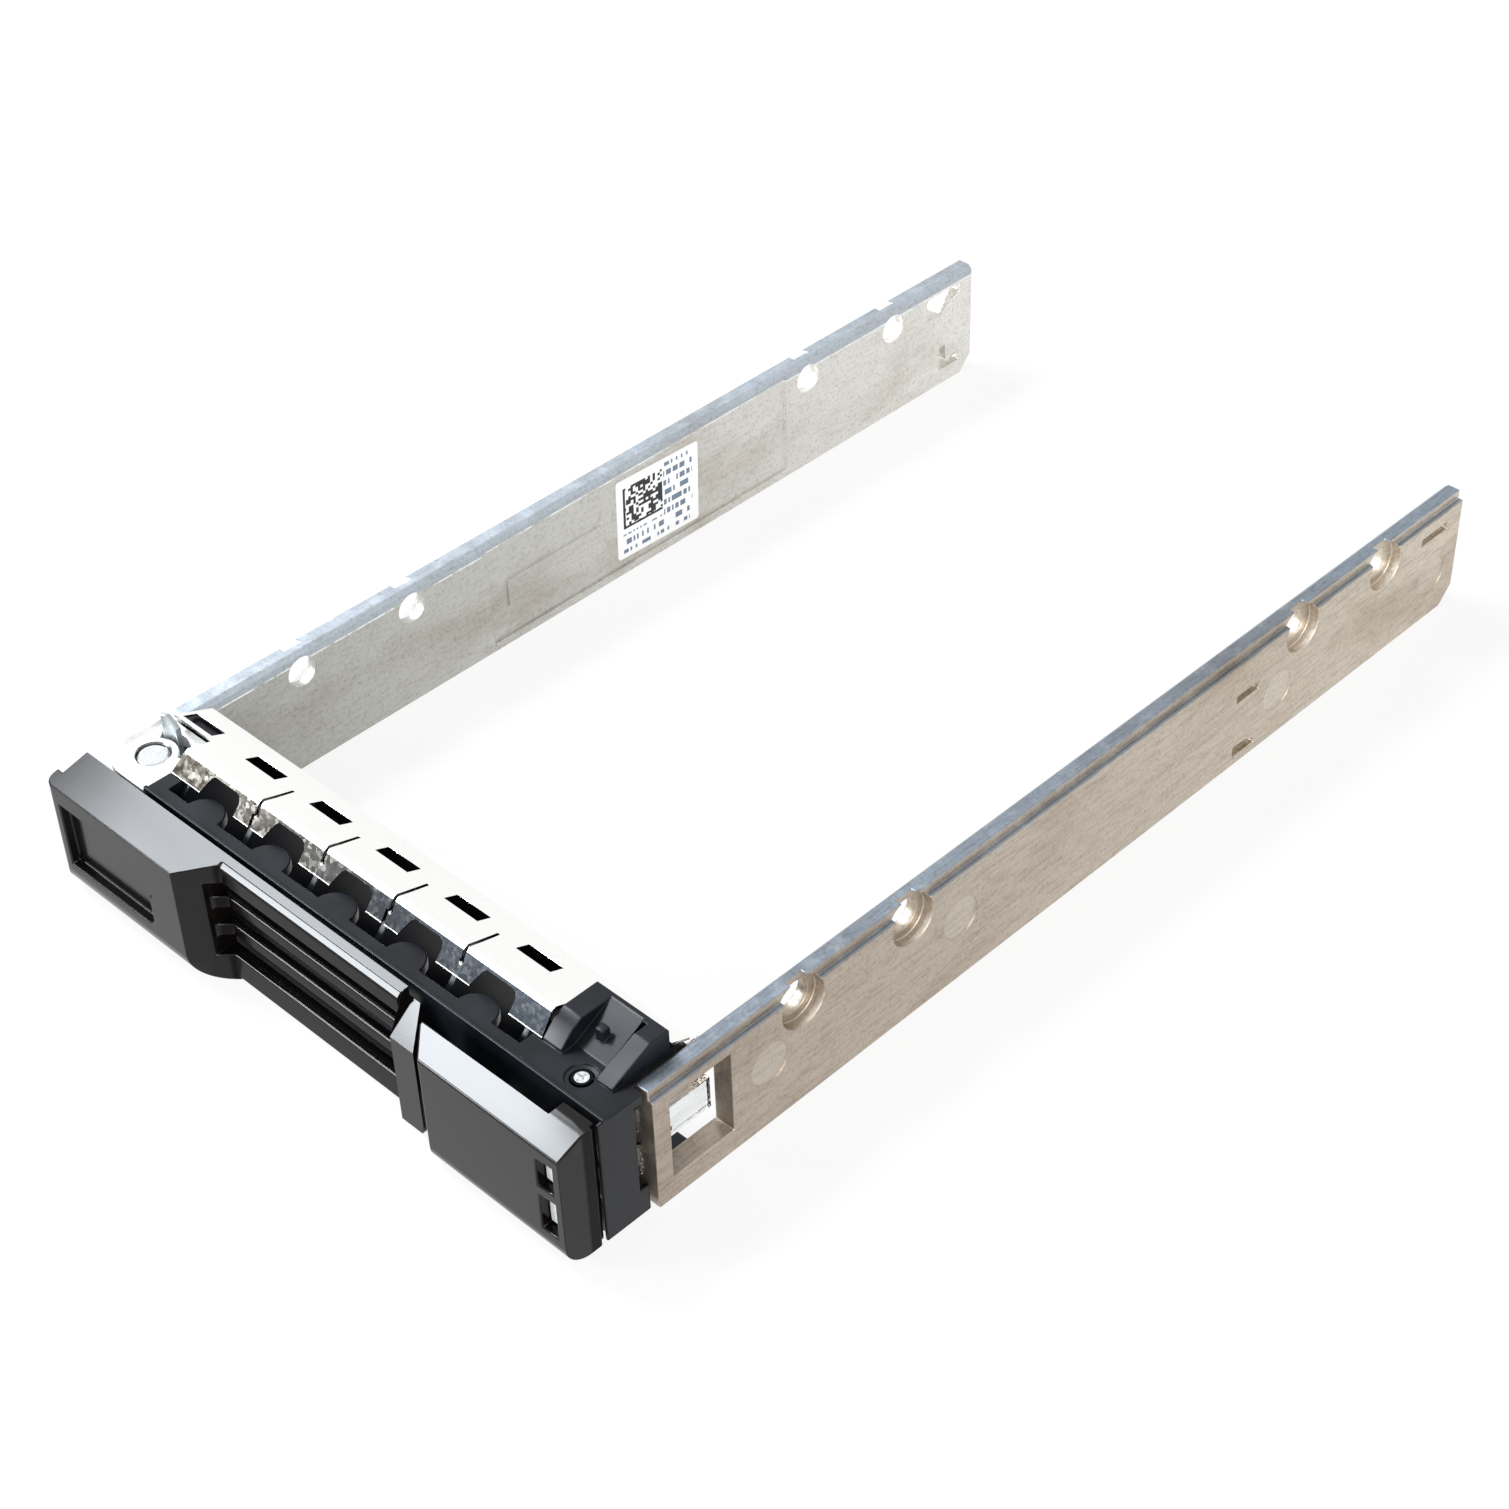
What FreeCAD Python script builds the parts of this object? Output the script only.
import FreeCAD, Part
import Sketcher
import math
import os
import re

# Hot swap drive caddy for a 2.5-inch drive.
# +X runs along the front, +Y towards the back of the bay, +Z up.
# The origin is midway between the rails, at their front ends, on the underside.

Vector = FreeCAD.Vector

# Driving dimensions, in millimetres and degrees.
SIZES = {
    # Rails
    "bay_width": 70.2,
    "rail_length": 125.3,
    "rail_height": 14.7,
    "rail_wall": 2.6,
    "rail_step_width": 0.6,
    "rail_step_drop": 1.1,
    "rail_bevel": 0.5,
    "lead_in": 2.0,
    # Drive screw holes
    "screw_first": 19.2,
    "screw_shift": 15.0,
    "screw_spacing": 76.6,
    "screw_sink": 2.6,
    "screw_hole": 3.6,
    "screw_recess": 5.6,
    "screw_recess_depth": 1.3,
    # Recessed panel, pad and sticker on the left rail
    "panel_from": 45.0,
    "panel_to": 92.0,
    "panel_low": 1.0,
    "panel_margin": 0.9,
    "panel_depth": 0.3,
    "pad_from": 47.6,
    "pad_to": 61.9,
    "pad_low": 4.8,
    "pad_high": 8.4,
    "pad_rise": 0.2,
    "sticker_from": 65.1,
    "sticker_width": 12.5,
    "sticker_margin": 3.7,
    "sticker_thickness": 0.12,
    # Windows and slots at the rails' ends
    "contact_from": 117.2,
    "contact_to": 123.1,
    "contact_height": 2.9,
    "contact_slot": 1.1,
    "light_from": 2.0,
    "light_to": 9.8,
    "light_low": 2.6,
    "light_sink": 2.1,
    "key_length": 3.8,
    "key_height": 1.2,
    "key_from": 84.7,
    "disc_radius": 2.4,
    "disc_depth": 0.15,
    # Hinge
    "pin_inset": 2.2,
    "pin_front": 1.2,
    "pin_radius": 1.3,
    "pin_head": 1.65,
    "pin_head_height": 0.5,
    "ear_thickness": 1.5,
    "ear_low": 1.3,
    "ear_reach": 4.1,
    "ear_half": 3.8,
    "ear_root": 2.1,
    "ear_back": 3.6,
    "knuckle_radius": 3.6,
    "knuckle_height": 3.0,
    "cam_inner": 2.9,
    "cam_outer": 3.5,
    "cam_from": 85.0,
    "cam_to": 122.0,
    "tooth_height": 2.6,
    "open_angle": 50.0,
    # Front frame
    "frame_front": 5.3,
    "frame_back": 7.0,
    "frame_over": 2.0,
    "frame_side_wall": 0.5,
    "frame_wall": 1.5,
    "frame_floor": 1.2,
    "rim_over": 0.5,
    "rim_rise": 0.25,
    "rim_width": 0.5,
    "ledge_depth": 1.7,
    "frame_inset": 6.1,
    # Contact strip
    "strip_metal": 0.3,
    "strip_rear": 7.4,
    "strip_sink": 0.1,
    "strip_fold": 0.3,
    "strip_rise": 3.03,
    "strip_tip": 2.0,
    "tip_over": 0.35,
    "strip_bend": 0.35,
    "strip_left_inset": 7.3,
    "strip_right_inset": 9.5,
    "finger_share": 7.02,
    "finger_count": 5,
    "finger_start": 2.16,
    "notch_width": 5.1,
    "notch_below": 0.7,
    "window_width": 4.7,
    "window_from": 3.6,
    "window_to": 5.2,
    "slit_width": 0.35,
    # Handle and button
    "bezel_over": 0.8,
    "bezel_front": 10.8,
    "bezel_back": 6.0,
    "bezel_drop": 1.2,
    "bezel_round": 3.4,
    "handle_over": 2.1,
    "handle_lip": 0.8,
    "handle_lip_back": 9.0,
    "step_inset": 17.6,
    "step_run": 3.3,
    "grip_front": 7.4,
    "grip_chamfer": 0.6,
    "grip_recess": 0.5,
    "strap_front": 8.8,
    "strap_width": 3.2,
    "strap_inset": 19.8,
    "bevel_height": 4.4,
    "slot_lap": 1.4,
    "slot_margin": 0.5,
    "slot_low": 3.4,
    "slot_below": 2.7,
    "slot_bar": 1.5,
    "pocket_border": 1.1,
    "pocket_inset": 12.7,
    "pocket_low": 4.3,
    "pocket_below": 3.4,
    "pocket_depth": 1.0,
    "hollow_front": 9.0,
    "lever_front": 8.2,
    "lever_metal": 1.2,
    "lever_screw": 0.8,
    "hook_width": 2.2,
    "hook_margin": 0.8,
    "hook_drop": 0.95,
    "hook_tip": 2.0,
    "button_gap": 0.9,
    "button_flank": 2.5,
    "button_back": 7.9,
    "button_corner_back": 5.9,
    "cheek_width": 4.3,
    "button_sink": 0.3,
    "button_travel": 0.5,
    "button_lip": 0.4,
    "post_inset": 14.8,
    "post_apart": 7.7,
    "post_radius": 1.1,
    "light_inset": 1.0,
    "light_width": 2.1,
    "light_upper_height": 3.6,
    "light_crown": 1.9,
    "light_lower_low": 3.7,
    "light_apart": 1.0,
    "play": 0.3,
}

# Places that follow from the driving dimensions, from the middle of the bay and from the underside.
PLACES = {
    "frame_side": "bay_width / 2 + frame_over",
    "frame_left": "bay_width / 2 - frame_inset",
    "strip_left": "bay_width / 2 - strip_left_inset",
    "strip_right": "bay_width / 2 - strip_right_inset",
    "finger_pitch": "bay_width / finger_share",
    "finger_first": "finger_start * finger_pitch",
    "handle_left": "bay_width / 2 + handle_over",
    "pocket_left": "handle_left - pocket_border",
    "pocket_right": "bay_width / 2 - pocket_inset",
    "step_from": "bay_width / 2 - step_inset",
    "step_to": "step_from - step_run",
    "slot_left": "step_to + slot_lap",
    "strap_right": "bay_width / 2 - strap_inset",
    "strap_left": "strap_right - strap_width",
    "slot_right": "strap_left - slot_margin",
    "hook_right": "strap_right - hook_margin",
    "hook_left": "hook_right - hook_width",
    "button_left": "strap_right + button_gap",
    "button_face": "button_left + button_flank",
    "button_cheek": "frame_side - cheek_width",
    "post_first": "bay_width / 2 - post_inset",
    "post_second": "post_first + post_apart",
    "light_left": "bay_width / 2 - light_inset",
    "light_right": "light_left + light_width",
    "screw_level": "rail_height - screw_sink",
    "panel_high": "rail_height - panel_margin",
    "sticker_height": "rail_height - sticker_margin",
    "strip_rear_level": "rail_height - strip_sink",
    "strip_fold_level": "rail_height + strip_rise",
    "strip_tip_level": "rail_height + tip_over",
    "notch_level": "strip_fold_level - notch_below",
    "bezel_height": "rail_height + bezel_over",
    "strap_bevel": "bezel_height - bevel_height",
    "slot_top": "bezel_height - slot_below",
    "slot_height": "(slot_top - slot_low - 2 * slot_bar) / 3",
    "pocket_high": "bezel_height - pocket_below",
    "button_top": "bezel_height - button_sink",
    "post_level": "rail_height / 2",
    "hook_low": "post_level - hook_drop",
    "light_high": "rail_height - light_sink",
    "light_upper_top": "rail_height - light_crown",
    "light_upper_low": "light_upper_top - light_upper_height",
    "light_lower_top": "light_upper_low - light_apart",
}
NAMES = {**SIZES, **PLACES}

doc = FreeCAD.newDocument("drive_caddy")
sheet = doc.addObject("Spreadsheet::Sheet", "Sizes")
for row, (alias, value) in enumerate(NAMES.items(), start=1):
    sheet.set("A%d" % row, alias)
    sheet.set("B%d" % row, str(value) if alias in SIZES else "=" + value)
    sheet.setAlias("B%d" % row, alias)
doc.recompute()

# Places that several pieces share, as formulas of the driving dimensions.
RAIL_IN = "(bay_width / 2)"
RAIL_OUT = "(bay_width / 2 + rail_wall)"
PIN_X = "(pin_inset - bay_width / 2)"
PIN_Y = "(-pin_front)"
LEDGE = "(rail_height + rim_over - rim_rise)"
PLATE_LOW = "(rail_height + rim_over - rim_rise - frame_floor)"
FRONT_IN = "(frame_wall - frame_front)"
SCREW_ROWS = (
    "screw_first",
    "screw_first + screw_shift",
    "screw_first + screw_spacing",
    "screw_first + screw_shift + screw_spacing",
)
LEVER_SCREWS = ("-pocket_left + 7.9", "-pocket_right + 1.5")
PLANES = {"x": "YZ_Plane", "y": "XZ_Plane", "z": "XY_Plane"}


def size(name):
    return float(sheet.get(name))


def bound(formula):
    """The formula with each size's name pointed at its cell."""
    return re.sub("[a-z_]+", lambda word: "Sizes." * (word.group() in NAMES) + word.group(), str(formula))


def new_body(name):
    body = doc.addObject("PartDesign::Body", name)
    body.Label = name
    return body


def new_sketch(body, name, axis, level):
    """A sketch square to the axis, at the given level along it."""
    sketch = body.newObject("Sketcher::SketchObject", name)
    plane = [item for item in body.Origin.OriginFeatures if item.Role == PLANES[axis]][0]
    sketch.AttachmentSupport = (plane, [""])
    sketch.MapMode = "FlatFace"
    sign = "-1" if axis == "y" else "1"
    sketch.setExpression("AttachmentOffset.Base.z", bound(f"{sign} * ({level})"))
    return sketch


def bind(sketch, kind, geometry, point, start, formula):
    """A coordinate of a sketch point, measured from the sketch's origin."""
    index = sketch.addConstraint(Sketcher.Constraint(kind, -1, 1, geometry, point, start))
    name = "%s_%d" % (kind, index)
    sketch.renameConstraint(index, name)
    sketch.setExpression("Constraints." + name, bound(formula))


def outline(sketch, corners):
    """A closed outline with every corner bound to the sizes."""
    first = sketch.GeometryCount
    count = len(corners)
    turn = 2 * math.pi / count
    spots = [Vector(20 * math.cos(i * turn), 20 * math.sin(i * turn), 0) for i in range(count)]
    for i in range(count):
        sketch.addGeometry(Part.LineSegment(spots[i], spots[(i + 1) % count]))
    for i in range(count):
        sketch.addConstraint(Sketcher.Constraint("Coincident", first + i, 2, first + (i + 1) % count, 1))
    for i, (across, along) in enumerate(corners):
        bind(sketch, "DistanceX", first + i, 1, spots[i].x, across)
        bind(sketch, "DistanceY", first + i, 1, spots[i].y, along)


def ring(sketch, across, along, radius):
    """A circle bound to the sizes."""
    geometry = sketch.addGeometry(Part.Circle(Vector(1, 1, 0), Vector(0, 0, 1), 1))
    bind(sketch, "DistanceX", geometry, 3, 1, across)
    bind(sketch, "DistanceY", geometry, 3, 1, along)
    index = sketch.addConstraint(Sketcher.Constraint("Radius", geometry, 1))
    sketch.renameConstraint(index, "Radius_%d" % index)
    sketch.setExpression("Constraints.Radius_%d" % index, bound(radius))


def box(left, right, low, high):
    return [(left, low), (right, low), (right, high), (left, high)]


def bow(across, along, radius, angle_from, angle_to, steps=5):
    """Corners along an arc, for an outline."""
    turns = [math.radians(angle_from + (angle_to - angle_from) * i / steps) for i in range(steps + 1)]
    return [(f"{across} + ({radius}) * ({math.cos(turn):.5f})", f"{along} + ({radius}) * ({math.sin(turn):.5f})")
            for turn in turns]


def draw(sketch, loops):
    for loop in loops:
        if isinstance(loop, tuple):
            ring(sketch, *loop)
        else:
            outline(sketch, loop)


def pad(body, name, axis, start, end, *loops):
    """Material from start to end along the axis. A loop is corners, or a circle as a tuple."""
    sketch = new_sketch(body, name + "_sketch", axis, start)
    draw(sketch, loops)
    feature = body.newObject("PartDesign::Pad", name)
    feature.Profile = sketch
    feature.setExpression("Length", bound(f"({end}) - ({start})"))
    feature.Reversed = axis == "y"
    return settle(feature, 1)


def pocket(body, name, axis, start, end, *loops):
    """A cut from start to end along the axis."""
    sketch = new_sketch(body, name + "_sketch", axis, start)
    draw(sketch, loops)
    feature = body.newObject("PartDesign::Pocket", name)
    feature.Profile = sketch
    feature.setExpression("Length", bound(f"({end}) - ({start})"))
    feature.Reversed = axis != "y"
    return settle(feature, -1)


def settle(feature, change):
    """Recompute, and make sure that the feature adds or takes away material."""
    before = feature.BaseFeature.Shape.Volume if feature.BaseFeature else 0.0
    doc.recompute()
    if (feature.Shape.Volume - before) * change <= 0:
        raise RuntimeError("%s changes nothing" % feature.Name)
    return feature


def pattern(body, name, feature, axis, step, count):
    """Copies of a feature in a row, along an axis of its own sketch."""
    row = body.newObject("PartDesign::LinearPattern", name)
    row.Originals = [feature]
    row.Direction = (feature.Profile[0], [axis])
    row.setExpression("Occurrences", bound(count))
    row.setExpression("Length", bound(f"({step}) * (({count}) - 1)"))
    body.Tip = row
    before = feature.Shape.Volume
    doc.recompute()
    if abs(row.Shape.Volume - before) < 1e-6:
        raise RuntimeError("%s copies nothing" % name)
    return row


def turned(body, name, kind, change, angle_from, angle_to, corners):
    """A section (radius, level) turned about the hinge pin's axis, between two angles from +X."""
    sketch = new_sketch(body, name + "_sketch", "y", PIN_Y)
    offset = sketch.AttachmentOffset
    offset.Rotation = FreeCAD.Rotation(Vector(0, 1, 0), angle_from)
    sketch.AttachmentOffset = offset
    sketch.setExpression("AttachmentOffset.Base.x", bound(PIN_X))
    outline(sketch, corners)
    feature = body.newObject(kind, name)
    feature.Profile = sketch
    feature.ReferenceAxis = (sketch, ["V_Axis"])
    feature.Angle = angle_to - angle_from
    return settle(feature, change)


def soften(body, name, kind, amount, wanted):
    """A fillet or chamfer on the edges that the test picks."""
    doc.recompute()
    base = body.Tip
    edges = ["Edge%d" % (i + 1) for i, edge in enumerate(base.Shape.Edges) if wanted(edge)]
    if not edges:
        raise RuntimeError("%s finds no edge" % name)
    feature = body.newObject("PartDesign::" + kind, name)
    feature.Base = (base, edges)
    feature.setExpression("Radius" if kind == "Fillet" else "Size", bound(amount))
    doc.recompute()
    return feature


def runs(edge, axis):
    """True for a straight edge along the axis."""
    if not isinstance(edge.Curve, Part.Line):
        return False
    return abs(getattr(edge.Curve.Direction, axis)) > 0.999


def beside(edge, **places):
    """True where the middle of the edge is at the given coordinates."""
    middle = edge.CenterOfMass
    return all(abs(getattr(middle, axis) - place) < 0.02 for axis, place in places.items())


def rail_section(side):
    """The rails' section, with the stepped outer top edge and the bevelled inner one."""
    return [
        (f"{side} * ({RAIL_IN})", "0"),
        (f"{side} * ({RAIL_IN})", "rail_height - rail_bevel"),
        (f"{side} * ({RAIL_IN} + rail_bevel)", "rail_height"),
        (f"{side} * ({RAIL_OUT} - rail_step_width)", "rail_height"),
        (f"{side} * ({RAIL_OUT} - rail_step_width)", "rail_height - rail_step_drop"),
        (f"{side} * ({RAIL_OUT})", "rail_height - rail_step_drop"),
        (f"{side} * ({RAIL_OUT})", "0"),
    ]


def rail_screw_holes(body, side):
    """Holes for the drive's screws, with recesses for the heads on the outer face."""
    spans = {
        1: (RAIL_IN + " - 1", RAIL_OUT + " + 1", RAIL_OUT + " - screw_recess_depth"),
        -1: (f"-({RAIL_OUT}) - 1", f"1 - {RAIL_IN}", f"screw_recess_depth - ({RAIL_OUT})"),
    }
    start, end, depth = spans[side]
    holes = [(row, "screw_level", "screw_hole / 2") for row in SCREW_ROWS]
    recesses = [(row, "screw_level", "screw_recess / 2") for row in SCREW_ROWS]
    pocket(body, body.Name + "_holes", "x", start, end, *holes)
    if side > 0:
        pocket(body, body.Name + "_recesses", "x", depth, end, *recesses)
    else:
        pocket(body, body.Name + "_recesses", "x", start, depth, *recesses)


def rail_lead_in(body):
    """The sloped lower corner at the rail's rear end."""
    rear = size("rail_length")
    soften(body, body.Name + "_lead_in", "Chamfer", "lead_in",
           lambda edge: runs(edge, "x") and beside(edge, y=rear, z=0.0))


def make_left_rail():
    body = new_body("left_rail")
    inner = f"-({RAIL_IN})"
    outer = f"-({RAIL_OUT})"
    pad(body, "left_wall", "y", "ear_root", "rail_length", rail_section(-1))
    rail_lead_in(body)
    rail_screw_holes(body, -1)
    pocket(body, "panel", "x", f"{inner} - panel_depth", f"{inner} + 1",
           box("panel_from", "panel_to", "panel_low", "panel_high"))
    pad(body, "panel_pad", "x", f"{inner} - panel_depth", f"{inner} - panel_depth + pad_rise",
        box("pad_from", "pad_to", "pad_low", "pad_high"))
    # Two L-shaped windows for the sprung contacts of the bay
    top = "rail_height - rail_bevel - contact_slot"
    pocket(body, "upper_contact", "x", f"{outer} - 1", f"{inner} + 1", [
        ("contact_from", f"{top} - contact_height"),
        ("contact_from + 2 * contact_slot", f"{top} - contact_height"),
        ("contact_to", f"{top} - contact_slot"),
        ("contact_to", top),
        ("contact_from", top),
    ])
    pocket(body, "lower_contact", "x", f"{outer} - 1", f"{inner} + 1", [
        ("contact_from + 2 * contact_slot", "lead_in"),
        ("contact_to", "lead_in"),
        ("contact_to", "lead_in + contact_slot"),
        ("contact_from + 3 * contact_slot", "lead_in + contact_slot"),
        ("contact_from + 3 * contact_slot", "lead_in + 3 * contact_slot"),
        ("contact_from + 2 * contact_slot", "lead_in + 3 * contact_slot"),
    ])
    # Hinge ears, one above and one below the lever's knuckle
    ear = box(f"{PIN_X} - ear_half", f"{PIN_X} + ear_half", f"{PIN_Y} - ear_reach", "ear_back")
    pad(body, "upper_ear", "z", "rail_height - ear_thickness", "rail_height", ear)
    pad(body, "lower_ear", "z", "ear_low", "ear_low + ear_thickness", ear)
    corner_x = size("pin_inset") - size("bay_width") / 2 - size("ear_half")
    corner_y = -size("pin_front") - size("ear_reach")
    soften(body, "ear_nose", "Fillet", "ear_half - 0.2",
           lambda edge: runs(edge, "z") and beside(edge, x=corner_x, y=corner_y))
    pad(body, "ear_wall", "z", "rail_height - ear_thickness", "rail_height + rail_bevel",
        box(f"{outer} + rail_step_width", f"{outer} + rail_step_width + 0.9",
            f"{PIN_Y} - pin_front", "ear_root + ear_thickness"))
    pocket(body, "pin_bore", "z", "0", "rail_height + 1", (PIN_X, PIN_Y, "pin_radius + 0.05"))
    pocket(body, "pin_seat", "z", "rail_height - pin_head_height - 0.1", "rail_height + 1",
           (PIN_X, PIN_Y, "pin_head + 0.15"))
    turned(body, "cam_slot", "PartDesign::Groove", -1,
           size("cam_from") - size("open_angle") - 5, size("cam_to") + 6, [
               ("cam_inner - play", "rail_height - ear_thickness - 0.5"),
               ("cam_outer + play", "rail_height - ear_thickness - 0.5"),
               ("cam_outer + play", "rail_height + 0.3"),
               ("cam_inner - play", "rail_height + 0.3"),
           ])
    # Lug that the frame is screwed down on
    pad(body, "left_lug", "z", "rail_height - 5.2", f"{PLATE_LOW} - 0.1",
        box(f"{outer} + 1", f"{PIN_X} + 5.6", "ear_back + 0.6", "frame_back - 0.4"))
    pocket(body, "left_lug_bore", "z", "rail_height - 6", PLATE_LOW, screw_spot(-1) + ("0.85",))
    return body


def screw_spot(side):
    """Where the frame's two screws stand."""
    if side > 0:
        return (f"({RAIL_IN} - 3.5)", "-2.7")
    return (f"({PIN_X} + 4.7)", "(frame_back - 1.9)")


def make_right_rail():
    body = new_body("right_rail")
    pad(body, "right_wall", "y", "0", "rail_length", rail_section(1))
    rail_lead_in(body)
    rail_screw_holes(body, 1)
    pocket(body, "light_window", "x", f"{RAIL_IN} - 1", f"{RAIL_OUT} + 1",
           box("light_from", "light_to", "light_low", "light_high"))
    # Keying slots, through the wall
    pocket(body, "rear_key", "x", f"{RAIL_IN} - 1", f"{RAIL_OUT} + 1",
           box("contact_from + 0.6", "contact_to - 0.3", "rail_height - 3.8", "rail_height - 2.7"))
    pocket(body, "middle_keys", "x", f"{RAIL_IN} - 1", f"{RAIL_OUT} + 1",
           [("key_from", "rail_height - 6.4"),
            ("key_from + key_length / 3", "rail_height - 6.4"),
            ("key_from + key_length", "rail_height - 5.2 - key_height"),
            ("key_from + key_length", "rail_height - 5.2"),
            ("key_from", "rail_height - 5.2")],
           [("key_from", "key_height - 0.2"),
            ("key_from + key_length", "key_height - 0.2"),
            ("key_from + key_length", "key_height + 0.3"),
            ("key_from + key_length / 2", "2 * key_height"),
            ("key_from", "2 * key_height")])
    # Shallow marks of the ejector pins
    marks = [("contact_from + 3.4", "5.7"), ("panel_to", "6"),
             ("panel_from - 4", "7.9"), ("screw_first - 4.6", "7.7")]
    pocket(body, "ejector_marks", "x", f"{RAIL_OUT} - disc_depth", f"{RAIL_OUT} + 1",
           *[(along, level, "disc_radius") for along, level in marks])
    # Foot that reaches under the light pipes, and its post for the corner screw
    foot_low = "frame_floor + 0.1"
    pad(body, "foot", "z", foot_low, "light_low + 0.8",
        box(f"{RAIL_IN} - 5.2", f"{RAIL_IN} + 1", "0.05", "light_from + 0.9"))
    pad(body, "foot_toe", "z", foot_low, "light_low + 0.8",
        box(f"{RAIL_IN} - 5.2", f"{RAIL_IN} - 2.1", f"{FRONT_IN} + 0.2", "0.1"))
    pad(body, "post", "z", "light_low + 0.7", f"{PLATE_LOW} - 0.1",
        box(f"{RAIL_IN} - 5.1", f"{RAIL_IN} - 2.1", f"{FRONT_IN} + 0.2", "-1.5"))
    pocket(body, "post_bore", "z", "rail_height - 6", PLATE_LOW, screw_spot(1) + ("0.85",))
    return body


def make_front_frame():
    body = new_body("front_frame")
    left = "-frame_left"
    inside = "(frame_wall - frame_left)"
    side = f"({RAIL_IN} - 0.2)"
    # The moulding's plan: a front bar, with a narrower part behind it that fits between the rails
    pad(body, "plan", "z", "0", LEDGE, [
        (left, "-frame_front"),
        ("frame_side", "-frame_front"),
        ("frame_side", "-0.5"),
        (side, "-0.5"),
        (side, "frame_back"),
        (f"-1 * {side}", "frame_back"),
        (f"-1 * {side}", "ear_back + play"),
        (left, "ear_back + play"),
    ])
    # Hollow, open towards the drive and along the rails
    pocket(body, "hollow", "z", "frame_floor", PLATE_LOW, [
        (inside, FRONT_IN),
        ("frame_side - frame_side_wall", FRONT_IN),
        ("frame_side - frame_side_wall", "-0.4"),
        ("frame_side + 1", "-0.4"),
        ("frame_side + 1", "frame_back + 1"),
        (f"-1 * {side} - 1", "frame_back + 1"),
        (f"-1 * {side} - 1", "ear_back"),
        (inside, "ear_back"),
    ])
    pocket(body, "side_slot", "x", "frame_side - 2 * frame_side_wall", "frame_side + 1",
           box("-1.6", "0.5", "light_low + 0.6", "light_high + 1.2"))
    # Lip that the button's corner slides behind
    pad(body, "side_lip", "y", "-button_corner_back", "0.1 - frame_front",
        box("frame_side - button_lip", "frame_side", "0", LEDGE))
    # Opening in the top, under the contact strip
    pocket(body, "top_opening", "z", f"{PLATE_LOW} - 0.5", f"{LEDGE} + 1",
           box(f"{inside} + 0.4", "strip_right - 1.2", "ledge_depth - frame_front", "frame_back - 1.4"))
    pocket(body, "under_strip", "x", f"-1 * {side} - 1", f"{side} + 1", [
        ("frame_back - 2", LEDGE),
        ("frame_back + 0.1", f"{LEDGE} - 0.9"),
        ("frame_back + 0.1", f"{LEDGE} + 0.1"),
        ("frame_back - 2", f"{LEDGE} + 0.1"),
    ])
    pad(body, "rim", "z", f"{LEDGE} - 0.1", f"{LEDGE} + rim_rise",
        box(left, "frame_side", "-frame_front", "rim_width - frame_front"))
    # Tongues of the ledge, one into each notch of the strip
    reach = "(notch_width / 2 - 0.2)"
    half_disc = bow("-finger_first", "ledge_depth - frame_front - 0.1", reach, 0, 180, 10)
    half_disc += [(f"-finger_first - {reach}", "rim_width - frame_front - 0.1"),
                  (f"-finger_first + {reach}", "rim_width - frame_front - 0.1")]
    tongue = pad(body, "tongue", "z", PLATE_LOW, LEDGE, half_disc)
    pattern(body, "tongues", tongue, "H_Axis", "finger_pitch", "finger_count")
    # Fins that hold the strip up behind its fingers
    fin = pad(body, "fin", "x", "-finger_first - finger_pitch / 2 - 0.4", "-finger_first - finger_pitch / 2 + 0.4", [
        (f"{FRONT_IN} - 0.1", "frame_floor - 0.1"),
        ("frame_back", "frame_floor - 0.1"),
        ("frame_back", f"{PLATE_LOW} + 0.2"),
        ("frame_back - 0.5", "strip_rear_level - 0.35"),
        ("0.5", "strip_fold_level - 0.95"),
        ("-0.2", "strip_fold_level - 1.3"),
        ("-strip_tip + 0.7", "strip_tip_level"),
        (f"{FRONT_IN} - 0.1", f"{PLATE_LOW} - 1.5"),
    ])
    pattern(body, "fins", fin, "N_Axis", "finger_pitch", "finger_count + 1")
    # Vents behind the handle's grille
    vents = [box("1.2 - step_to", "strap_left - 2", f"slot_low + 0.2 + {i} * (slot_height + slot_bar)",
                 f"slot_low + 0.2 + {i} * (slot_height + slot_bar) + slot_height") for i in range(3)]
    pocket(body, "vents", "y", "-frame_front - 1", f"{FRONT_IN} + 0.05", *vents)
    # Way in for the handle's hook and for the button's catch
    pocket(body, "hook_way", "y", "-frame_front - 1", "-hook_tip + 1",
           box("hook_left - 1", "hook_right + play", "hook_low - 1.6", "hook_low + 1.6"))
    pocket(body, "catch_way", "y", "-frame_front - 1", "-hook_tip + 1.3",
           box("hook_left - 1", "button_face + 0.4", "hook_low - 3.2", "hook_low - 1.3"))
    guides = [(name, "post_level", "post_radius + play") for name in ("post_first", "post_second")]
    pocket(body, "guides", "y", "-frame_front - 1", f"{FRONT_IN} + 1", *guides)
    pocket(body, "spring_seat", "y", "-frame_front - 1", "0.5 - frame_front",
           ("(post_first + post_second) / 2", "post_level", "2 * post_radius + play"))
    pocket(body, "light_ways", "y", "-frame_front - 1", f"{FRONT_IN} + 0.5",
           box("light_left - 0.1", "light_right - 0.35", "light_upper_low", "light_upper_top"),
           box("light_left - 0.1", "light_right - 0.35", "light_lower_low", "light_lower_top"))
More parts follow.
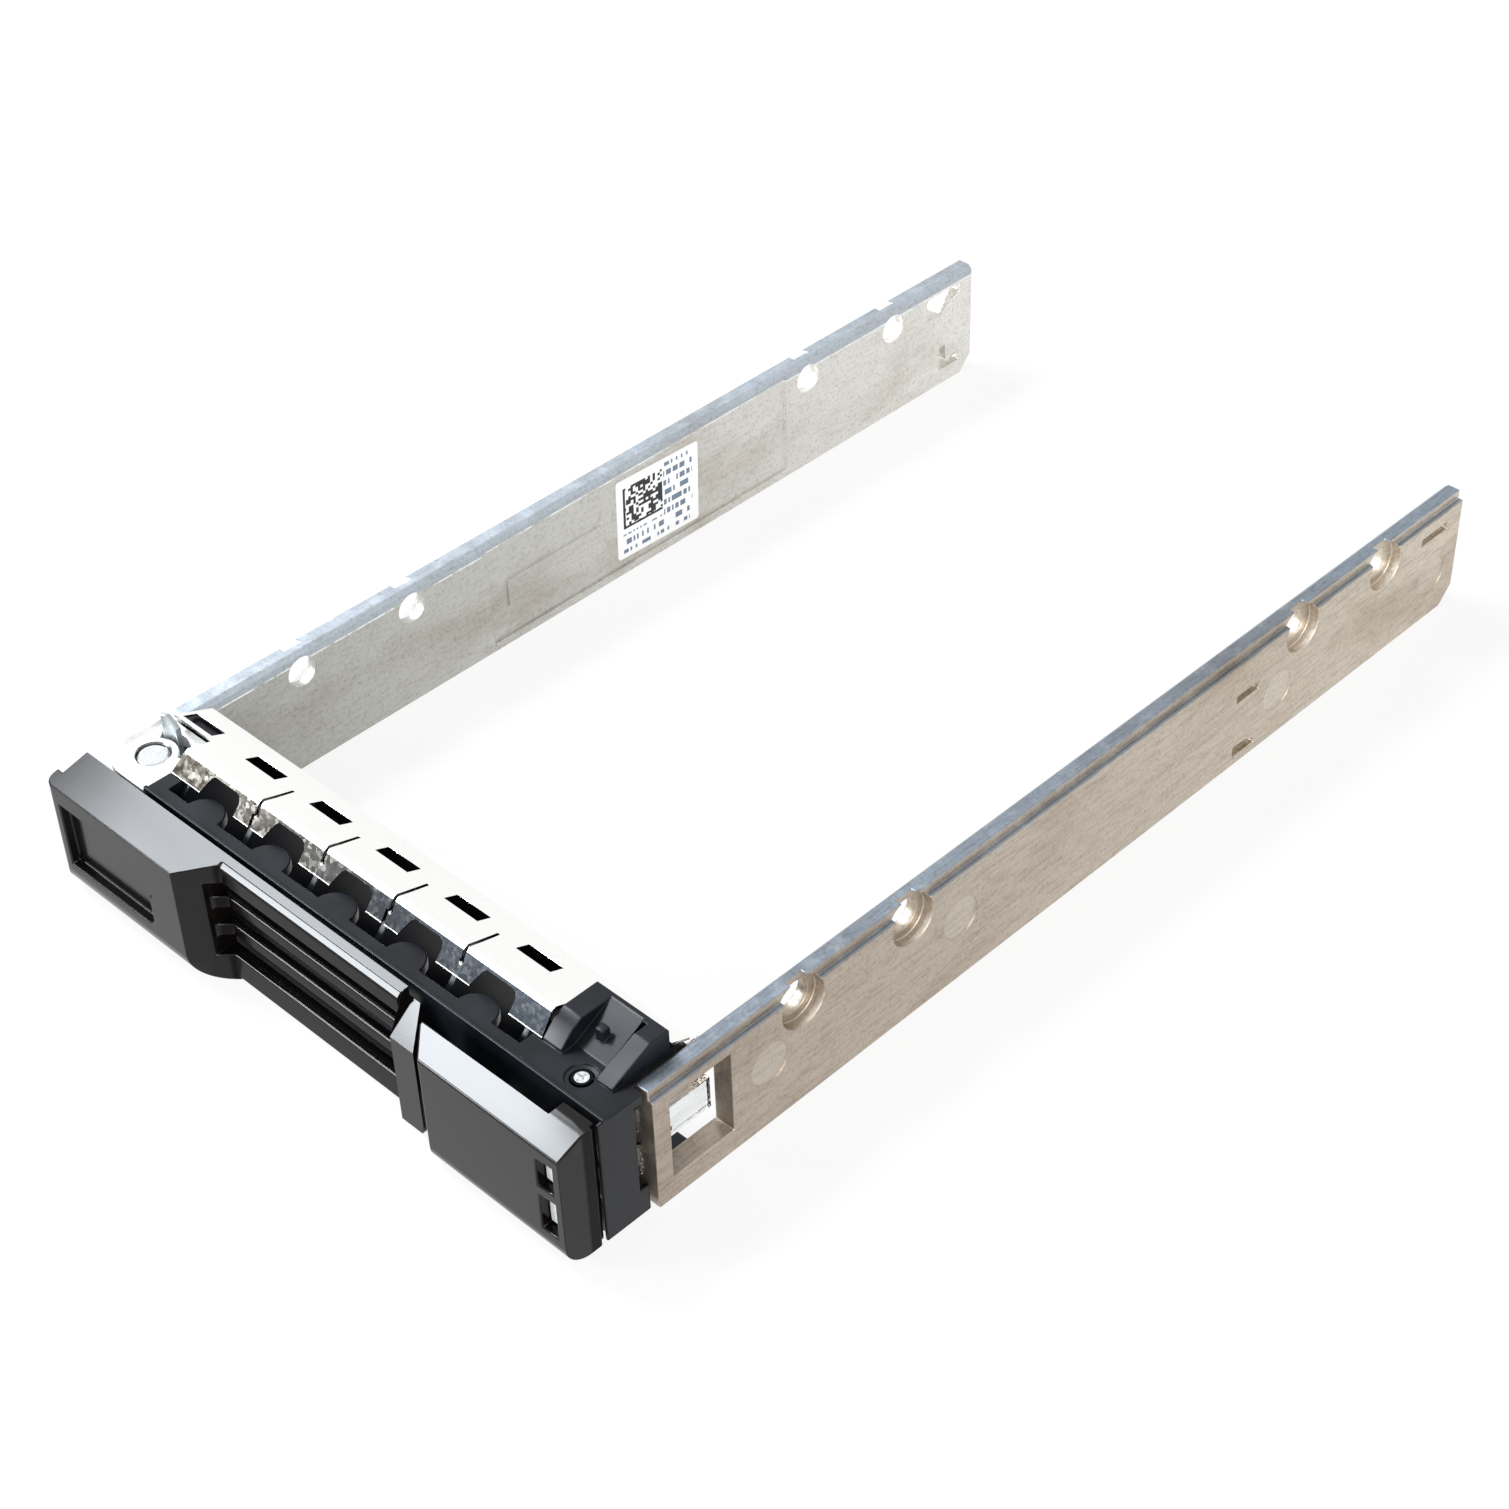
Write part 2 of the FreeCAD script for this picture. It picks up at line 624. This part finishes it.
    # Raised corner beside the strip: a cheek, a ramp with a nib, and a rib
    crown = "(strip_fold_level - play)"
    back = "(window_to - play)"
    pad(body, "cheek", "x", "strip_right + 0.15", "strip_right + 2.6", [
        ("-strip_tip", f"{LEDGE} - 0.1"),
        (back, f"{LEDGE} - 0.1"),
        (back, f"{crown}"),
        ("0.7", f"{crown}"),
        ("-0.5", f"{crown} - 0.6"),
        ("-strip_tip", f"{LEDGE} + play"),
    ])
    pad(body, "ramp", "x", "strip_right + 2.5", "strip_right + 6.8", [
        ("-0.6", f"{LEDGE} - 0.1"),
        (back, f"{LEDGE} - 0.1"),
        (back, f"{crown}"),
        (f"{back} - 0.5", f"{crown}"),
    ])
    pad(body, "rib", "x", "strip_right + 7.4", f"{RAIL_IN} - 0.1", [
        ("-2.2", f"{LEDGE} - 0.1"),
        (back, f"{LEDGE} - 0.1"),
        (back, f"{crown}"),
        ("2.6", f"{crown}"),
        ("-2.2", f"{LEDGE} + play"),
    ])
    pad(body, "turret_back", "x", "strip_right + 6.7", "strip_right + 7.5",
        box(f"{back} - 0.8", back, f"{LEDGE} - 0.1", crown))
    pad(body, "nib", "z", LEDGE, f"{LEDGE} + 2.1", box("strip_right + 4", "strip_right + 5", "0.9", "1.9"))
    # Screw holes in the corners
    across, along = screw_spot(1)
    pocket(body, "corner_bore", "z", f"{PLATE_LOW} - 1", f"{LEDGE} + 1", (across, along, "0.9"))
    pocket(body, "corner_seat", "z", f"{PLATE_LOW} + 0.4", f"{LEDGE} + 1", (across, along, "1.15"))
    pocket(body, "corner_ring", "z", f"{LEDGE} - 0.2", f"{LEDGE} + 1", (across, along, "1.6"))
    pocket(body, "left_bore", "z", f"{PLATE_LOW} - 1", f"{LEDGE} + 1", screw_spot(-1) + ("0.9",))
    pocket(body, "left_seat", "z", f"{LEDGE} - 0.8", f"{LEDGE} + 1", screw_spot(-1) + ("1",))
    return body


def make_contact_strip():
    body = new_body("contact_strip")
    thick = "strip_metal"
    # The folded section. The inner points are the outer ones moved in by the sheet's thickness.
    pad(body, "fold", "x", f"0.6 - {RAIL_IN}", f"{RAIL_IN} - 0.2", [
        ("strip_rear", f"strip_rear_level - 1.079 * {thick}"),
        ("strip_rear", "strip_rear_level"),
        ("-strip_fold", "strip_fold_level"),
        ("-strip_tip", "strip_tip_level"),
        (f"1.184 * {thick} - strip_tip", "strip_tip_level"),
        (f"0.397 * {thick} - strip_fold", f"strip_fold_level - 1.241 * {thick}"),
    ])
    level = size("strip_fold_level")
    soften(body, "crest", "Fillet", "strip_bend + strip_metal",
           lambda edge: runs(edge, "x") and beside(edge, z=level))
    soften(body, "crest_inside", "Fillet", "strip_bend",
           lambda edge: runs(edge, "x") and beside(edge, z=level - 1.241 * size("strip_metal")))
    # Cut away round the hinge ear and round the frame's raised corner
    pocket(body, "turret_corner", "z", "strip_tip_level - 1", "strip_fold_level + 1",
           box("strip_right", RAIL_OUT, "-strip_tip - 1", "window_to"))
    pocket(body, "ear_side", "y", "-strip_tip - 1", "ear_back - 0.7", [
        (f"-1 * {RAIL_OUT}", "strip_tip_level - 1"),
        ("-strip_left - 1", "strip_tip_level - 1"),
        ("-strip_left - 1", "strip_tip_level"),
        ("-strip_left", "strip_fold_level"),
        ("-strip_left", "strip_fold_level + 1"),
        (f"-1 * {RAIL_OUT}", "strip_fold_level + 1"),
    ])
    # Notches between the fingers, leaning like the fingers' cut edges
    notch = pocket(body, "notch", "y", "-strip_tip - 1", "0", [
        ("-finger_first - notch_width / 2 - 0.1", "strip_tip_level - 1"),
        ("-finger_first + notch_width / 2", "strip_tip_level - 1"),
        ("-finger_first + notch_width / 2 + 0.3", "notch_level - 0.7"),
        ("-finger_first + notch_width / 2 + 0.1", "notch_level - 0.2"),
        ("-finger_first + notch_width / 2 - 0.4", "notch_level"),
        ("-finger_first - notch_width / 2 + 1.3", "notch_level"),
        ("-finger_first - notch_width / 2 + 0.9", "notch_level - 0.3"),
        ("-finger_first - notch_width / 2 - 0.1", "strip_tip_level"),
    ])
    pattern(body, "notches", notch, "H_Axis", "finger_pitch", "finger_count")
    middle = "(-finger_first - finger_pitch)"
    half = "window_width / 2"
    window = pocket(body, "window", "z", "strip_tip_level - 1", "strip_fold_level + 1",
                    box(f"{middle} - {half}", f"{middle} + {half}", "window_from", "window_to"))
    pattern(body, "windows", window, "H_Axis", "finger_pitch", "finger_count + 1")
    # Slits over the crest, ending in a round eye on the front
    place = "(-finger_first + finger_pitch / 2)"
    slit = pocket(body, "slit", "z", "strip_fold_level - 2.2", "strip_fold_level + 1", [
        (f"{place} - slit_width / 2", "window_from + 0.3"),
        (f"{place} + slit_width / 2", "window_from + 0.3"),
        (f"{place} + 0.35 + slit_width / 2", "1.4"),
        (f"{place} + 0.55 + slit_width / 2", "-strip_fold - 0.1"),
        (f"{place} + 0.55 - slit_width / 2", "-strip_fold - 0.1"),
        (f"{place} + 0.35 - slit_width / 2", "1.4"),
    ])
    pattern(body, "slits", slit, "H_Axis", "finger_pitch", "finger_count - 1")
    eye = pocket(body, "slit_eye", "y", "-strip_tip - 1", "-strip_fold + 0.1",
                 [(f"{place} + 0.55 + slit_width / 2", "strip_fold_level + 1"),
                  (f"{place} + 0.55 - slit_width / 2", "strip_fold_level + 1")]
                 + bow(f"{place} + 0.55", "strip_fold_level - 1.3", "0.8 * slit_width", 130, 410, 8))
    pattern(body, "slit_eyes", eye, "H_Axis", "finger_pitch", "finger_count - 1")
    front_slit = pocket(body, "front_slit", "y", "-strip_tip - 1", "0",
                        box(place, f"{place} + slit_width", "strip_tip_level - 1", "strip_tip_level + 1.3"))
    pattern(body, "front_slits", front_slit, "H_Axis", "2 * finger_pitch", "2")
    return body


def top_slope(body, name, left, right):
    """The sloping top of the bezel pieces, low at the front."""
    pocket(body, name, "x", left, right, [
        ("-bezel_back", "bezel_height"),
        ("-bezel_back", "bezel_height + 1"),
        ("-bezel_front - 1", "bezel_height + 1"),
        ("-bezel_front - 1",
         "bezel_height - bezel_drop * (bezel_front + 1 - bezel_back) / (bezel_front - bezel_back)"),
    ])


def make_handle():
    body = new_body("handle")
    left = "-handle_left - handle_lip"
    front = -size("bezel_front")
    pad(body, "handle_block", "x", left, "strap_right",
        box("-bezel_front", "-bezel_back", "0", "bezel_height"))
    soften(body, "handle_round", "Fillet", "bezel_round",
           lambda edge: runs(edge, "x") and beside(edge, y=front, z=0.0))
    # Cut back to the plan: the oblique step, the thin grip, the strap and the lip at the left end
    pocket(body, "handle_plan", "z", "-1", "bezel_height + 1", [
        ("-step_from", "-bezel_front"),
        ("-step_to", "-grip_front"),
        ("strap_left", "-grip_front"),
        ("strap_left", "-strap_front"),
        ("strap_right + 1", "-strap_front"),
        ("strap_right + 1", "-bezel_front - 1"),
        ("-step_from", "-bezel_front - 1"),
    ])
    pocket(body, "handle_lip", "z", "-1", "bezel_height + 1",
           box(f"{left} - 1", "-handle_left", "-handle_lip_back", "-bezel_back + 1"))
    pocket(body, "handle_corner", "z", "-1", "bezel_height + 1", [(f"{left} - 1", "-bezel_front - 1")] + bow(
        f"{left} + bezel_round / 3", "bezel_round / 3 - bezel_front", "bezel_round / 3", 180, 270))
    pocket(body, "grip_underside", "z", "-1", "play",
           box("-step_to", "strap_left", "-grip_front - 3", "-bezel_back + 1"))
    top_slope(body, "handle_top", "-handle_left - handle_lip - 1", "strap_left")
    pocket(body, "strap_top", "x", "strap_left - 0.1", "strap_right + 1", [
        ("-strap_front - 0.5", "strap_bevel - 1"),
        ("-bezel_back - 0.35", "bezel_height + 0.5"),
        ("-strap_front - 0.5", "bezel_height + 0.5"),
    ])
    pocket(body, "strap_corner", "y", "-bezel_front - 1", "-bezel_back + 1", [
        ("strap_right + 1", "strap_bevel"),
        ("strap_right", "strap_bevel"),
        ("strap_right - 1.7", "bezel_height - 0.8"),
        ("strap_right - 2.7", "bezel_height - 0.1"),
        ("strap_right - 2.7", "bezel_height + 1"),
        ("strap_right + 1", "bezel_height + 1"),
    ])
    pocket(body, "strap_foot", "y", "-bezel_front - 1", "-bezel_back + 1",
           [("strap_right + 1", "-1"), ("strap_right + 1", "grip_recess * 2")]
           + bow("strap_right - 1", "1", "1", 0, -90) + [("strap_right - 1", "-1")])
    # Chamfer along the grip's top edge, which runs into the strap's bevel
    low = "(bezel_height - grip_chamfer - 0.15)"
    pocket(body, "grip_top", "x", "-step_to", "strap_left + 0.2", [
        ("-grip_front - 0.5", f"{low} - 0.5"),
        ("-grip_front + grip_chamfer + 0.5", f"{low} + grip_chamfer + 0.5"),
        ("-grip_front - 0.5", f"{low} + grip_chamfer + 0.5"),
    ])
    # Recess that the grille's bars stand back in
    pocket(body, "grille_recess", "z", "slot_low", "slot_top", [
        ("-slot_left", "-bezel_front - 1"),
        ("slot_right", "-bezel_front - 1"),
        ("slot_right", "grip_recess - grip_front"),
        ("-step_to - 0.2", "grip_recess - grip_front"),
        ("-slot_left", "-grip_front - 0.7"),
    ])
    slots = []
    for i in range(3):
        top = f"slot_top - {i} * (slot_height + slot_bar)"
        low = "slot_low" if i == 2 else f"{top} - slot_height"
        slots.append(box("-slot_left", "slot_right", low, top))
    pocket(body, "grille", "y", "-bezel_front - 1", "-bezel_back + 1", *slots)
    pocket(body, "label_pocket", "y", "-bezel_front - 1", "-bezel_front + pocket_depth", [
        ("-pocket_left", "pocket_low"),
        ("-pocket_right - 1", "pocket_low"),
        ("-pocket_right - 0.3", "pocket_low + 0.3"),
        ("-pocket_right", "pocket_low + 1"),
        ("-pocket_right", "pocket_high - 3.6"),
        ("-pocket_right + 0.5", "pocket_high - 3.6"),
        ("-pocket_right + 0.5", "pocket_high - 1.6"),
        ("-pocket_right", "pocket_high - 1.6"),
        ("-pocket_right", "pocket_high"),
        ("-pocket_left", "pocket_high"),
    ])
    # Hollow from behind, with a boss for each of the lever's screws
    pocket(body, "handle_hollow", "y", "-hollow_front", "-bezel_back + 1",
           box("-pocket_left", "-step_from - 1.5", "frame_floor + 0.4", "pocket_high + 1"))
    pad(body, "bosses", "y", "-hollow_front - 0.1", "-lever_front",
        *[(spot, "post_level", "1.5") for spot in LEVER_SCREWS])
    pocket(body, "boss_bores", "y", "-hollow_front - 0.4", "-lever_front + 1",
           *[(spot, "post_level", "lever_screw + 0.02") for spot in LEVER_SCREWS])
    pocket(body, "hook_seat", "y", "-strap_front + 1.15", "-bezel_back + 1",
           box("hook_left - 0.05", "hook_right + 0.05", "hook_low - 1.25", "hook_low + 2.45"))
    return body


def make_handle_lever():
    body = new_body("handle_lever")
    low = "(ear_low + ear_thickness + play)"
    high = "(rail_height - ear_thickness - play)"
    pad(body, "knuckle", "z", low, high, (PIN_X, PIN_Y, "knuckle_radius"))
    pad(body, "arm", "z", low, high,
        box(f"{PIN_X} - 2.6", f"{PIN_X} + 2.6", "lever_metal / 2 - lever_front", PIN_Y))
    pad(body, "plate", "y", "-lever_front", "lever_metal - lever_front",
        box(f"{PIN_X} - 2.6", "-step_from - 2", "frame_floor + 0.9", "pocket_high - 0.4"))
    # Room for the spring's coil, and for the leg that bears on the arm
    pocket(body, "coil_room", "z", f"{low} + knuckle_height", f"{high} - knuckle_height",
           (PIN_X, PIN_Y, "knuckle_radius + 0.1"))
    pocket(body, "lever_bore", "z", "0", "rail_height", (PIN_X, PIN_Y, "pin_radius + 0.05"))
    pocket(body, "plate_bores", "y", "-lever_front - 1", "-bezel_back",
           *[(spot, "post_level", "lever_screw + 0.1") for spot in LEVER_SCREWS])
    # Cam tooth, through the slot of the ear, with its top sloping down to the right
    turned(body, "cam_tooth", "PartDesign::Revolution", 1, size("cam_from"), size("cam_to"), [
        ("cam_inner", f"{high} - 0.5"),
        ("cam_outer", f"{high} - 0.5"),
        ("cam_outer", "rail_height + tooth_height"),
        ("cam_inner", "rail_height + tooth_height"),
    ])
    pocket(body, "cam_slope", "y", "0", "3", [
        (f"{PIN_X} - 1.1", "rail_height + tooth_height + 1"),
        (f"{PIN_X} - 1.1", "rail_height + tooth_height"),
        (f"{PIN_X} + 1", "rail_height + 0.8"),
        (f"{PIN_X} + 1", "rail_height + tooth_height + 1"),
    ])
    return body


def make_latch_hook():
    body = new_body("latch_hook")
    pad(body, "hook_root", "y", "-strap_front + 1.2", "-bezel_back",
        box("hook_left", "hook_right", "hook_low - 1.2", "hook_low + 2.4"))
    pad(body, "tongue", "y", "-bezel_back - 0.1", "-hook_tip",
        box("hook_left", "hook_right", "hook_low", "hook_low + 1.2"))
    pad(body, "barb", "x", "hook_left", "hook_right", [
        ("-hook_tip", "hook_low + 0.1"),
        ("-hook_tip - 1", "hook_low + 0.1"),
        ("-hook_tip - 1", "hook_low - 1.2"),
        ("-hook_tip - 0.6", "hook_low - 1.2"),
    ])
    return body


def make_release_button():
    body = new_body("release_button")
    cheek = "button_cheek"
    pad(body, "button_plan", "z", "0", "button_top", [
        ("button_face", "-bezel_front"),
        ("frame_side", "-bezel_front"),
        ("frame_side", "-button_corner_back - button_travel - 0.1"),
        ("frame_side - button_lip - 0.1", "-button_corner_back - button_travel - 0.1"),
        ("frame_side - button_lip - 0.1", "-button_corner_back"),
        (cheek, "-button_corner_back"),
        (cheek, "-button_back"),
        ("button_left", "-button_back"),
        ("button_left", "-button_back - 0.3"),
    ])
    front = -size("bezel_front")
    soften(body, "button_round", "Fillet", "bezel_round - 0.4",
           lambda edge: runs(edge, "x") and beside(edge, y=front, z=0.0))
    pocket(body, "button_bevel", "x", "button_left - 1", "frame_side + 1", [
        ("-button_back", "button_top"),
        ("-button_back", "button_top + 1"),
        ("-bezel_front - 1", "button_top + 1"),
        ("-bezel_front - 1", "button_top - 1.48"),
    ])
    pocket(body, "button_hollow", "y", "-bezel_front + frame_wall", "-button_back + 1",
           box("button_face + 0.6", "button_cheek - 1.4", "frame_floor + 0.6", "pocket_high + 0.8"))
    pocket(body, "light_ways", "y", "-bezel_front - 1", "-button_corner_back + 1",
           box("light_left", "light_right - 0.4", "light_upper_low + 0.15", "light_upper_top - 0.15"),
           box("light_left", "light_right - 0.4", "light_lower_low", "light_lower_top - 0.15"))
    pocket(body, "button_windows", "y", "-bezel_front - 1", "1.1 - bezel_front",
           [("light_left", "light_upper_low"), ("light_right", "light_upper_low + 0.15"),
            ("light_right", "light_upper_top"), ("light_left", "light_upper_top - 0.15")],
           [("light_left", "light_lower_low"), ("light_right", "light_lower_low"),
            ("light_right", "light_lower_top"), ("light_left", "light_lower_top - 0.15")])
    # Guide posts, and the catch behind the front wall
    pad(body, "posts", "y", "-bezel_front + frame_wall - 0.1", f"{FRONT_IN} + 0.6",
        ("post_first", "post_level", "post_radius"), ("post_second", "post_level", "post_radius"))
    pad(body, "catch_stem", "y", "-button_back - 0.2", "-hook_tip - 1",
        box("button_left + 0.8", "button_face", "hook_low - 2.6", "hook_low - 1.5"))
    pad(body, "catch_bar", "y", "-hook_tip - 1.7", "-hook_tip - 1",
        box("hook_left", "button_left + 0.9", "hook_low - 2.6", "hook_low - 1.5"))
    return body


def make_light_pipe(name, low, top):
    """A clear pipe from the button's window back beside the rail, with a step towards the bay."""
    body = new_body(name)
    inner = "(light_left - 0.5)"
    pad(body, name + "_plan", "z", f"{low} + 0.25", f"{top} - 0.35", [
        ("light_left + 0.1", "1 - bezel_front"),
        ("light_right - 0.5", "1 - bezel_front"),
        ("light_right - 0.5", "-3.6"),
        ("frame_side - frame_side_wall - 0.3", "-3.6"),
        ("frame_side - frame_side_wall - 0.3", "-0.3"),
        (f"{RAIL_IN} - 0.2", "-0.3"),
        (f"{RAIL_IN} - 0.2", "light_to - 0.2"),
        (inner, "light_to - 0.2"),
        (inner, "-3.4"),
        ("light_left + 0.1", "-3.9"),
    ])
    return body


def make_hinge_pin():
    body = new_body("hinge_pin")
    head = "(rail_height - pin_head_height - 0.1)"
    foot = "(ear_low - 0.05)"
    section = [
        ("0", f"{foot} - 1"),
        ("pin_radius - 0.3", f"{foot} - 1"),
        ("pin_radius", f"{foot} - 0.7"),
        ("pin_radius", f"{foot} - 0.6"),
        ("pin_radius - 0.35", f"{foot} - 0.6"),
        ("pin_radius - 0.35", foot),
        ("pin_radius", foot),
        ("pin_radius", head),
        ("pin_head", head),
        ("pin_head", f"{head} + pin_head_height - 0.15"),
        ("pin_head - 0.2", f"{head} + pin_head_height"),
        ("0", f"{head} + pin_head_height"),
    ]
    turned(body, "pin_turning", "PartDesign::Revolution", 1, 0, 360, section)
    return body


def make_pin_clip():
    body = new_body("pin_clip")
    low = "(ear_low - 0.6)"
    pad(body, "clip_ring", "z", low, f"{low} + 0.5",
        (PIN_X, PIN_Y, "pin_radius + 0.9"), (PIN_X, PIN_Y, "pin_radius - 0.3"))
    pocket(body, "clip_mouth", "z", f"{low} - 1", f"{low} + 1",
           box(f"{PIN_X} - 0.8", f"{PIN_X} + 0.8", f"{PIN_Y} - 4", PIN_Y))
    return body


def screw(name, spot, head_low, head_height, head_radius, foot):
    """A small screw, head up, with a cross recess."""
    body = new_body(name)
    across, along = spot
    pad(body, name + "_shank", "z", foot, f"{head_low} + 0.1", (across, along, "lever_screw"))
    top = f"{head_low} + {head_height}"
    pad(body, name + "_head", "z", head_low, top, (across, along, head_radius))
    for axis, (long_half, short_half) in {"a": (0.6, 0.15), "b": (0.15, 0.6)}.items():
        pocket(body, f"{name}_recess_{axis}", "z", f"{top} - 0.4", f"{top} + 1",
               box(f"{across} - {long_half}", f"{across} + {long_half}",
                   f"{along} - {short_half}", f"{along} + {short_half}"))
    return body


def make_lever_screws():
    body = new_body("lever_screws")
    pad(body, "screw_shanks", "y", "-hollow_front - 0.3", "lever_metal - lever_front + 0.1",
        *[(spot, "post_level", "lever_screw") for spot in LEVER_SCREWS])
    pad(body, "screw_heads", "y", "lever_metal - lever_front", "lever_metal - lever_front + 0.6",
        *[(spot, "post_level", "2 * lever_screw") for spot in LEVER_SCREWS])
    return body


def coil(name, centre, tilt, radius, wire, low, high, turns, turn_from, leads, steps=14):
    """A wound spring of six-sided wire, with straight leads at both ends. Its axis is +Z before the tilt."""
    count = int(turns * steps)
    path = []
    for i in range(count + 1):
        turn = math.radians(turn_from - 360 * i / steps)
        level = low + (high - low) * i / count
        path.append(Vector(radius * math.cos(turn), radius * math.sin(turn), level))
    path = [Vector(*lead) for lead in leads[:1]] + path + [Vector(*lead) for lead in leads[1:]]
    spine = Part.makePolygon(path)
    heading = (path[1] - path[0]).normalize()
    across = heading.cross(Vector(0, 0, 1)).normalize()
    upward = across.cross(heading)
    corners = []
    for i in range(7):
        turn = math.radians(60 * i)
        corners.append(path[0] + across * (wire * math.cos(turn)) + upward * (wire * math.sin(turn)))
    pipe = Part.Wire(spine.Edges).makePipeShell([Part.makePolygon(corners)], True, False, 1)
    spring = doc.addObject("Part::Feature", name)
    spring.Label = name
    spring.Shape = pipe
    spring.Placement = FreeCAD.Placement(centre, tilt)
    return spring


def make_handle_spring():
    pin_x = size("pin_inset") - size("bay_width") / 2
    pin_y = -size("pin_front")
    radius = size("pin_radius") + 0.85
    low = size("ear_low") + size("ear_thickness") + size("play") + size("knuckle_height") + 0.6
    high = low + 2.4
    # One lead lies against the rail's front end, and the other in the lever's arm.
    leads = [(-3.6, radius, low), (radius, -2.3, high)]
    return coil("handle_spring", Vector(pin_x, pin_y, 0), FreeCAD.Rotation(), radius, 0.28,
                low, high, 3.25, 90, leads)


def make_button_spring():
    middle = (size("post_first") + size("post_second")) / 2
    seat = Vector(middle, 0.25 - size("frame_front"), size("post_level"))
    length = size("bezel_front") - size("frame_wall") - size("button_travel") - size("frame_front")
    return coil("button_spring", seat, FreeCAD.Rotation(Vector(1, 0, 0), 90), 2 * size("post_radius") - 0.4, 0.2,
                0, length, 4, 90, [])


def make_id_label():
    """The sticker, turned a little on the rail's face as it was put on by hand."""
    body = new_body("id_label")
    half_width = "sticker_width / 2"
    half_height = "sticker_height / 2"
    pad(body, "sticker", "x", "0", "sticker_thickness",
        box(f"-1 * {half_width}", half_width, f"-1 * {half_height}", half_height))
    rotation = FreeCAD.Rotation(Vector(1, 0, 0), -7)
    body.Placement = FreeCAD.Placement(Vector(0, 0, 0), rotation)
    body.setExpression("Placement.Base.x", bound(f"-1 * ({RAIL_IN}) - panel_depth"))
    body.setExpression("Placement.Base.y", bound(f"sticker_from + {half_width}"))
    body.setExpression("Placement.Base.z", bound("(panel_low + panel_high) / 2"))
    return body


def make_parts():
    make_left_rail()
    make_right_rail()
    make_front_frame()
    make_contact_strip()
    make_handle()
    make_handle_lever()
    make_latch_hook()
    make_release_button()
    make_light_pipe("light_pipe_upper", "light_upper_low", "light_upper_top")
    make_light_pipe("light_pipe_lower", "light_lower_low", "light_lower_top")
    make_hinge_pin()
    make_pin_clip()
    screw("corner_screw", screw_spot(1), f"({PLATE_LOW} + 0.4)", "0.7", "1", "rail_height - 5.5")
    screw("left_screw", screw_spot(-1), f"({LEDGE} - 0.8)", "0.35", "0.9", "rail_height - 5.1")
    make_lever_screws()
    make_handle_spring()
    make_button_spring()
    make_id_label()


def check_and_write():
    """Stop on any fault, then write one file for each sub-part."""
    doc.recompute()
    for item in doc.Objects:
        if "Invalid" in item.State or "Error" in item.State:
            raise RuntimeError("%s has failed" % item.Name)
    os.makedirs("parts", exist_ok=True)
    for item in doc.Objects:
        if item.TypeId not in ("PartDesign::Body", "Part::Feature"):
            continue
        if item.Shape.isNull() or not item.Shape.isValid():
            raise RuntimeError("%s has no valid shape" % item.Label)
        item.Shape.exportStep("parts/%s.step" % item.Label)


make_parts()
check_and_write()
